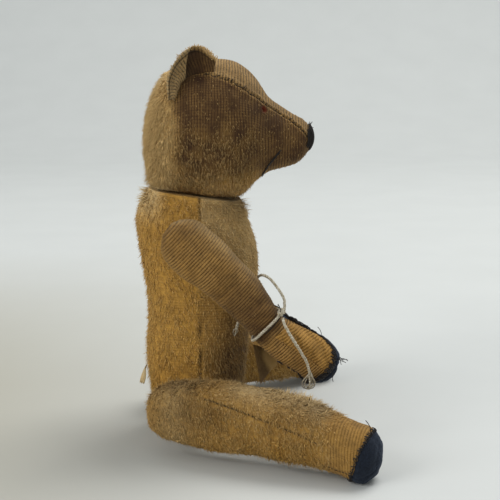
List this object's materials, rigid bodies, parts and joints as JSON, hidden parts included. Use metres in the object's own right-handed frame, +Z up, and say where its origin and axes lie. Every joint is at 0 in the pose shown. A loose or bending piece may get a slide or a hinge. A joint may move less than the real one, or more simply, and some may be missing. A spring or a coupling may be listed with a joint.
{
  "type": "threadbare jointed teddy bear",
  "caption": "Small antique seated bear of worn mohair cloth stuffed with straw, with disc-jointed neck, shoulders and hips, felt soles and a string and tag at one wrist.",
  "frame": {"origin": "centre of the flattened spot of the body's bottom, on the surface the bear sits on", "axes": "+X the way the bear faces, +Y its left side, +Z up"},
  "size_m": [0.0927, 0.1471, 0.1539],
  "materials": {
    "gold_mohair": "worn golden mohair, matted short pile",
    "bare_cloth": "threadbare ribbed cloth with its pile worn off",
    "straw": "packed wood-wool straw",
    "card": "pressed brown board",
    "steel": "dull steel, lightly rusted",
    "navy_felt": "worn near-black navy felt",
    "black_thread": "worn black embroidery thread",
    "white_cotton": "twisted white cotton string",
    "tag_card": "plain curled buff card"
  },
  "bodies": {
    "body": {"body_cover": "gold_mohair", "body_stuffing": "straw", "back_scrap": "gold_mohair", "neck_disc": "card", "neck_washer": "steel", "neck_pin": "steel", "shoulder_right_disc": "card", "shoulder_right_washer": "steel", "shoulder_right_pin": "steel", "hip_right_disc": "card", "hip_right_washer": "steel", "hip_right_pin": "steel", "shoulder_left_disc": "card", "shoulder_left_washer": "steel", "shoulder_left_pin": "steel", "hip_left_disc": "card", "hip_left_washer": "steel", "hip_left_pin": "steel"},
    "head": {"head_cover": "bare_cloth", "head_stuffing": "straw", "ear_right": "bare_cloth", "ear_left": "bare_cloth", "nose_stitching": "black_thread", "mouth_stitching": "black_thread", "head_disc": "card", "head_washer": "steel"},
    "arm_right": {"arm_right_cover": "bare_cloth", "arm_right_stuffing": "straw", "arm_right_disc": "card", "arm_right_washer": "steel", "paw_pad_right": "bare_cloth", "paw_felt_right": "navy_felt", "wrist_string": "white_cotton", "string_long_end": "white_cotton", "string_short_end": "white_cotton", "tag": "tag_card"},
    "arm_left": {"arm_left_cover": "bare_cloth", "arm_left_stuffing": "straw", "arm_left_disc": "card", "arm_left_washer": "steel", "paw_pad_left": "bare_cloth", "paw_felt_left": "navy_felt"},
    "leg_right": {"leg_right_cover": "gold_mohair", "leg_right_stuffing": "straw", "leg_right_disc": "card", "leg_right_washer": "steel", "sole_felt_right": "navy_felt"},
    "leg_left": {"leg_left_cover": "gold_mohair", "leg_left_stuffing": "straw", "leg_left_disc": "card", "leg_left_washer": "steel", "sole_felt_left": "navy_felt"}
  },
  "joints": [
    {"name": "neck_turn", "type": "hinge", "parent": "body", "child": "head", "pos_m": [-0.002, 0, 0.09748], "axis": [0.1392, 0, 0.9903], "continuous": true},
    {"name": "shoulder_right_swing", "type": "hinge", "parent": "body", "child": "arm_right", "pos_m": [-0.002, -0.0212, 0.0805], "axis": [0, -1, 0], "range_deg": [-4, 270]},
    {"name": "shoulder_left_swing", "type": "hinge", "parent": "body", "child": "arm_left", "pos_m": [-0.002, 0.0212, 0.0805], "axis": [0, -1, 0], "range_deg": [-2, 278]},
    {"name": "hip_right_swing", "type": "hinge", "parent": "body", "child": "leg_right", "pos_m": [-0.003, -0.02165, 0.0169], "axis": [-0.3746, -0.9272, 0], "range_deg": [-90, 0]},
    {"name": "hip_left_swing", "type": "hinge", "parent": "body", "child": "leg_left", "pos_m": [-0.003, 0.02333, 0.0169], "axis": [0.5446, -0.8387, 0], "range_deg": [-90, 0]}
  ]
}
